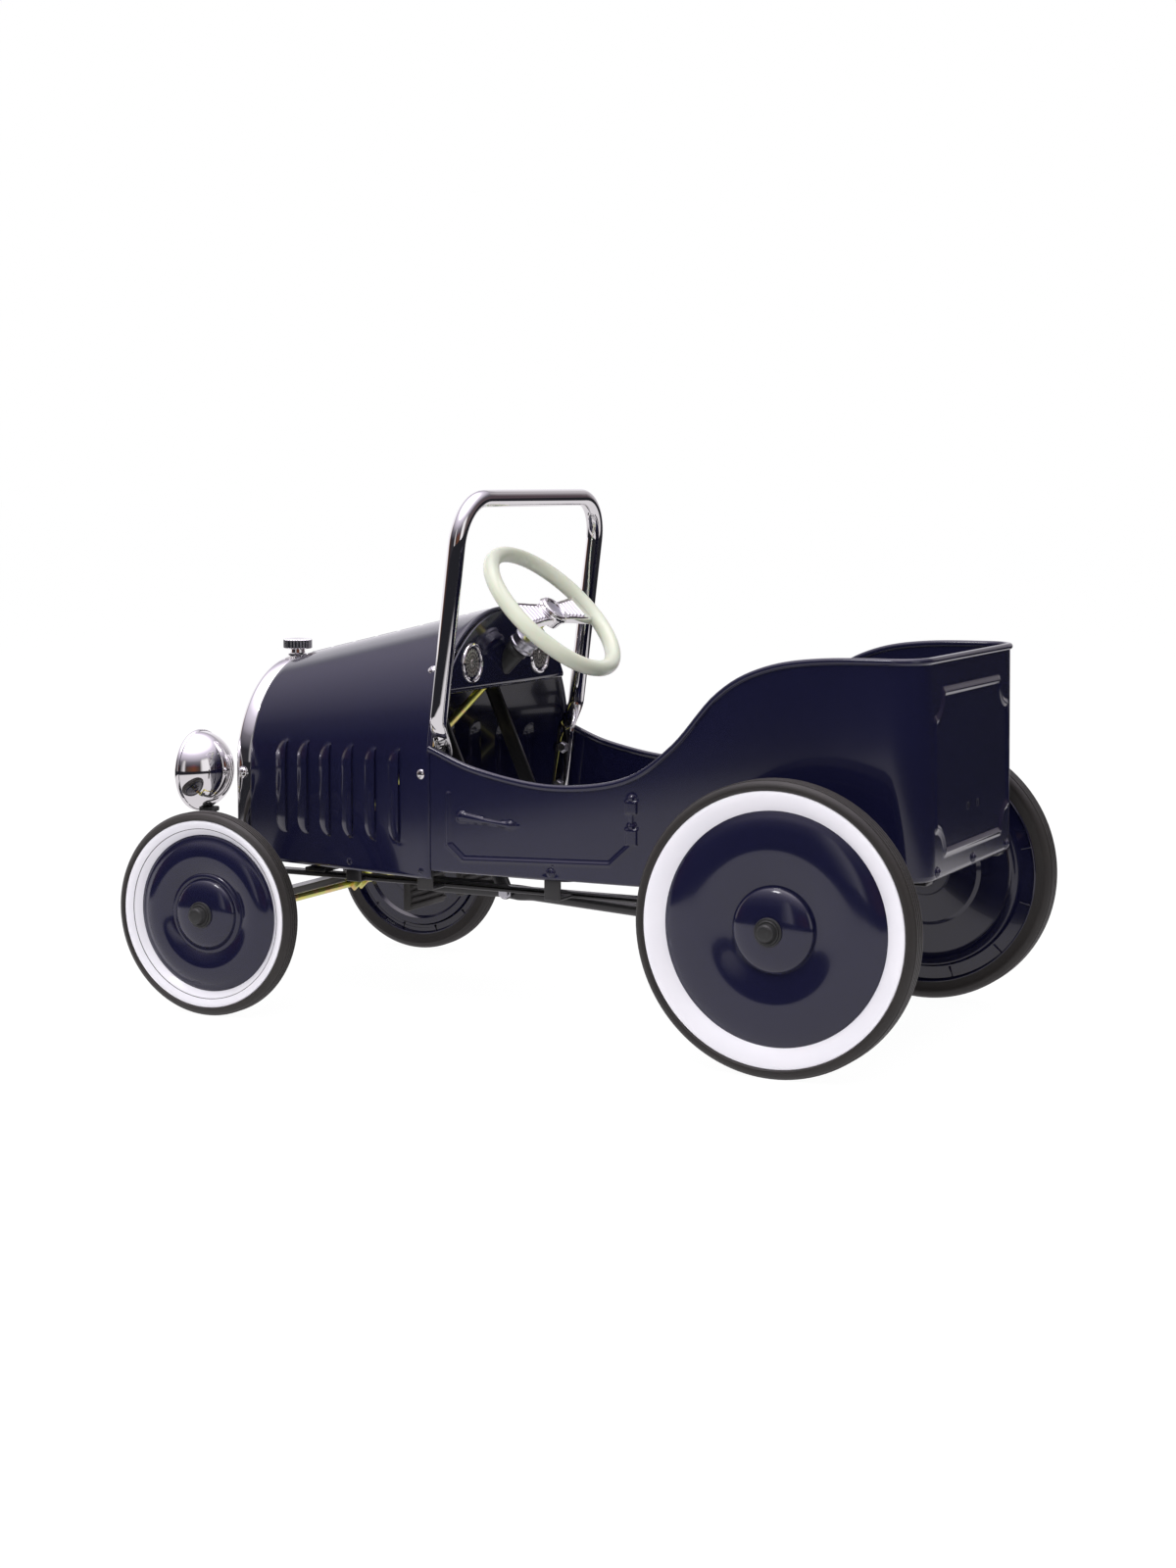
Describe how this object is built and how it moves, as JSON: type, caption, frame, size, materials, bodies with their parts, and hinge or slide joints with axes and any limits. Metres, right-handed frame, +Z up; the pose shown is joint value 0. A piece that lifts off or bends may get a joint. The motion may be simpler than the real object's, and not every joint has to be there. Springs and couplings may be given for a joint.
{
  "type": "pedal car",
  "caption": "Vintage-style pressed-steel pedal car with open cockpit, windshield frame, headlights, white-banded wheels, steering and a crank pedal drive.",
  "frame": {"origin": "on the ground under the middle of the car", "axes": "the car faces -Y, its left side is +X, +Z up"},
  "size_m": [0.436, 0.7821, 0.4855],
  "materials": {
    "navy_enamel": "gloss enamel",
    "black_enamel": "semi-gloss enamel",
    "white_enamel": "gloss enamel",
    "chrome": "polished chrome plate",
    "zinc_plate": "yellow-passivated zinc plate",
    "cream_plastic": "moulded, satin gloss",
    "black_plastic": "moulded, fine grain",
    "tyre_rubber": "moulded rubber, ribbed tread",
    "pedal_rubber": "ribbed rubber",
    "lamp_glass": "clear ribbed glass"
  },
  "bodies": {
    "chassis": {"tub_shell": "navy_enamel", "hood_shell": "navy_enamel", "dashboard": "navy_enamel", "gauge_left": "chrome", "gauge_right": "chrome", "seat_pan": "navy_enamel", "radiator_shell": "chrome", "radiator_grille": "chrome", "radiator_cap": "chrome", "headlight_bowl_left": "chrome", "headlight_lens_left": "lamp_glass", "headlight_stay_left": "black_enamel", "headlight_bowl_right": "chrome", "headlight_lens_right": "lamp_glass", "headlight_stay_right": "black_enamel", "windshield_frame": "chrome", "chassis_rail_left": "black_enamel", "chassis_rail_right": "black_enamel", "front_cross_member": "black_enamel", "rear_cross_member": "black_enamel", "column_bearing_plate": "black_enamel", "column_boss": "black_plastic", "rear_axle_bearing_left": "black_enamel", "rear_axle_bearing_right": "black_enamel", "front_axle_beam": "black_enamel", "hanger_pivot_rod": "zinc_plate"},
    "steering": {"steering_shaft": "zinc_plate", "steering_collar": "chrome", "steering_rim": "cream_plastic", "steering_spokes": "chrome", "steering_hub_cap": "chrome"},
    "stub_left": {"stub_axle_left": "zinc_plate"},
    "stub_right": {"stub_axle_right": "zinc_plate"},
    "tie_rod": {"tie_rod": "zinc_plate"},
    "front_wheel_left": {"tyre_front_left": "tyre_rubber", "white_band_front_left": "white_enamel", "wheel_disc_front_left": "navy_enamel", "hub_cap_front_left": "black_plastic"},
    "front_wheel_right": {"tyre_front_right": "tyre_rubber", "white_band_front_right": "white_enamel", "wheel_disc_front_right": "navy_enamel", "hub_cap_front_right": "black_plastic"},
    "crank_axle": {"crank_axle": "black_enamel", "tyre_rear_left": "tyre_rubber", "white_band_rear_left": "white_enamel", "wheel_disc_rear_left": "navy_enamel", "hub_cap_rear_left": "black_plastic"},
    "rear_wheel_right": {"tyre_rear_right": "tyre_rubber", "white_band_rear_right": "white_enamel", "wheel_disc_rear_right": "navy_enamel", "hub_cap_rear_right": "black_plastic"},
    "pedal_rod_left": {"pedal_rod_left": "black_enamel", "pedal_pad_left": "pedal_rubber"},
    "pedal_rod_right": {"pedal_rod_right": "black_enamel", "pedal_pad_right": "pedal_rubber"},
    "hanger_left": {"pedal_hanger_left": "black_enamel"},
    "hanger_right": {"pedal_hanger_right": "black_enamel"}
  },
  "joints": [
    {"name": "steering_turn", "type": "hinge", "parent": "chassis", "child": "steering", "pos_m": [0, -0.04, 0.371], "axis": [0, 0.7071, 0.7071], "range_deg": [-25, 25]},
    {"name": "stub_left_turn", "type": "hinge", "parent": "chassis", "child": "stub_left", "pos_m": [0.15, -0.2964, 0.0947], "axis": [0, 0, 1], "range_deg": [-25, 25]},
    {"name": "stub_right_turn", "type": "hinge", "parent": "chassis", "child": "stub_right", "pos_m": [-0.15, -0.2964, 0.0947], "axis": [0, 0, 1], "range_deg": [-25, 25]},
    {"name": "tie_rod_turn", "type": "hinge", "parent": "stub_left", "child": "tie_rod", "pos_m": [0.15, -0.2584, 0.09886], "axis": [0, 0, 1], "range_deg": [-25, 25]},
    {"name": "front_wheel_left_spin", "type": "hinge", "parent": "stub_left", "child": "front_wheel_left", "pos_m": [0.1949, -0.2964, 0.0947], "axis": [1, 0, 0], "continuous": true},
    {"name": "front_wheel_right_spin", "type": "hinge", "parent": "stub_right", "child": "front_wheel_right", "pos_m": [-0.1949, -0.2964, 0.0947], "axis": [1, 0, 0], "continuous": true},
    {"name": "crank_turn", "type": "hinge", "parent": "chassis", "child": "crank_axle", "pos_m": [0, 0.266, 0.125], "axis": [1, 0, 0], "continuous": true},
    {"name": "rear_wheel_right_spin", "type": "hinge", "parent": "crank_axle", "child": "rear_wheel_right", "pos_m": [-0.1912, 0.266, 0.125], "axis": [1, 0, 0], "continuous": true},
    {"name": "pedal_rod_left_turn", "type": "hinge", "parent": "crank_axle", "child": "pedal_rod_left", "pos_m": [0.05, 0.266, 0.094], "axis": [1, 0, 0], "continuous": true},
    {"name": "pedal_rod_right_turn", "type": "hinge", "parent": "crank_axle", "child": "pedal_rod_right", "pos_m": [-0.05, 0.266, 0.156], "axis": [1, 0, 0], "continuous": true},
    {"name": "hanger_left_swing", "type": "hinge", "parent": "chassis", "child": "hanger_left", "pos_m": [0.059, -0.138, 0.295], "axis": [1, 0, 0], "range_deg": [-9, 9]},
    {"name": "hanger_right_swing", "type": "hinge", "parent": "chassis", "child": "hanger_right", "pos_m": [-0.059, -0.138, 0.295], "axis": [1, 0, 0], "range_deg": [-9, 9]}
  ],
  "couplings": [
    {"joint": "stub_left_turn", "follows": "steering_turn", "ratio": 1},
    {"joint": "stub_right_turn", "follows": "steering_turn", "ratio": 1},
    {"joint": "tie_rod_turn", "follows": "steering_turn", "ratio": -1},
    {"joint": "pedal_rod_left_turn", "follows": "crank_turn", "ratio": -1},
    {"joint": "pedal_rod_right_turn", "follows": "crank_turn", "ratio": -1},
    {"joint": "hanger_right_swing", "follows": "hanger_left_swing", "ratio": -1}
  ]
}
